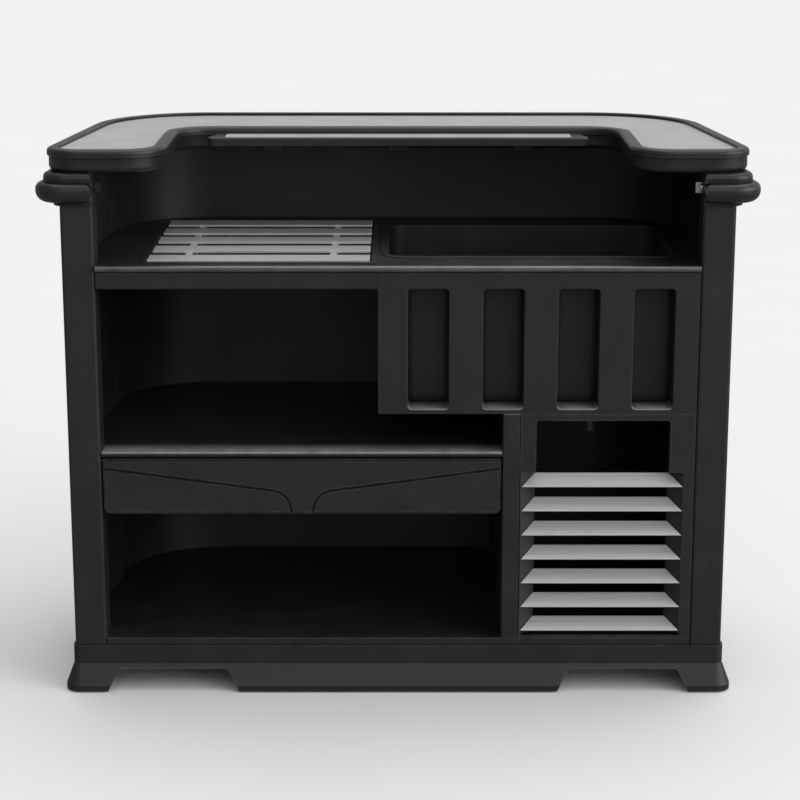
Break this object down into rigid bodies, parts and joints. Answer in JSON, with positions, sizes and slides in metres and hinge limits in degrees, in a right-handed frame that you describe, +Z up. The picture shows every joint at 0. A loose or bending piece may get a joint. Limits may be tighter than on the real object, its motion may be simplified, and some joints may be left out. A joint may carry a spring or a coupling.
{
  "type": "portable bar",
  "caption": "Free-standing bar with a U-shaped counter over a service well with an ice bin and drip tray, and bottle niches, a shelf, a drawer and louvred storage below.",
  "frame": {"origin": "on the floor, under the middle of the whole outline", "axes": "+Z up, +Y from the operator towards the customers, +X to the operator's right"},
  "size_m": [1.4624, 0.724, 1.147],
  "materials": {
    "black_polyethylene": "satin black moulded polyethylene",
    "counter_laminate": "light grey satin laminate",
    "anodised_aluminium": "grey anodised",
    "silver_coated_aluminium": "silver powder coat",
    "black_coated_steel": "black powder coat",
    "stainless_steel": "brushed stainless steel",
    "zinc_plated_steel": "bright zinc plate",
    "black_rubber": "matt rubber",
    "white_nylon": "natural nylon",
    "grey_plastic": "grey moulded plastic",
    "lever_plastic": "red moulded plastic",
    "insulation": "cut foam"
  },
  "bodies": {
    "bar": {"base_plinth": "black_polyethylene", "lower_deck": "black_polyethylene", "left_side_panel": "black_polyethylene", "right_side_panel": "black_polyethylene", "customer_panel": "black_polyethylene", "left_post": "black_polyethylene", "right_post": "black_polyethylene", "divider_panel": "black_polyethylene", "front_beam": "black_polyethylene", "worktop_deck": "black_polyethylene", "bottle_shelf": "black_polyethylene", "bottle_niche_panel": "black_polyethylene", "vent_frame": "black_polyethylene", "counter_top": "black_polyethylene", "service_ledge": "black_polyethylene", "cornice": "black_polyethylene", "ice_bin_liner": "black_polyethylene", "drip_tray": "black_polyethylene", "counter_surface": "counter_laminate", "ledge_surface": "counter_laminate", "worktop_edge_trim": "anodised_aluminium", "louvre_blade_1": "silver_coated_aluminium", "louvre_blade_2": "silver_coated_aluminium", "louvre_blade_3": "silver_coated_aluminium", "louvre_blade_4": "silver_coated_aluminium", "louvre_blade_5": "silver_coated_aluminium", "louvre_blade_6": "silver_coated_aluminium", "louvre_blade_7": "silver_coated_aluminium", "drain_fitting": "stainless_steel", "ledge_straps": "black_coated_steel", "counter_brackets": "zinc_plated_steel", "bracket_bolts": "zinc_plated_steel", "foot_pads": "black_rubber", "drain_seal": "black_rubber", "left_drawer_runner": "white_nylon", "right_drawer_runner": "white_nylon", "drain_nut": "grey_plastic", "drain_valve_body": "grey_plastic", "ice_bin_jacket": "insulation"},
    "drawer": {"drawer_front": "black_polyethylene", "drawer_box": "black_polyethylene", "drawer_rails": "white_nylon", "drawer_screws": "zinc_plated_steel"},
    "drain_grille": {"drain_grille": "silver_coated_aluminium"},
    "drain_lever": {"drain_valve_lever": "lever_plastic"},
    "left_lock": {"left_counter_lock": "stainless_steel"},
    "right_lock": {"right_counter_lock": "stainless_steel"}
  },
  "joints": [
    {"name": "drawer_slide", "type": "slide", "parent": "bar", "child": "drawer", "axis": [0, -1, 0], "range_m": [0, 0.33]},
    {"name": "grille_lift", "type": "slide", "parent": "bar", "child": "drain_grille", "axis": [0, 0, 1], "range_m": [0, 0.13]},
    {"name": "drain_lever_turn", "type": "hinge", "parent": "bar", "child": "drain_lever", "pos_m": [0.422, -0.0558, 0.5477], "axis": [0, 1, 0], "range_deg": [0, 90]},
    {"name": "left_lock_turn", "type": "hinge", "parent": "bar", "child": "left_lock", "pos_m": [-0.614, -0.306, 1.068], "axis": [1, 0, 0], "range_deg": [0, 90]},
    {"name": "right_lock_turn", "type": "hinge", "parent": "bar", "child": "right_lock", "pos_m": [0.614, -0.306, 1.068], "axis": [1, 0, 0], "range_deg": [0, 90]}
  ]
}
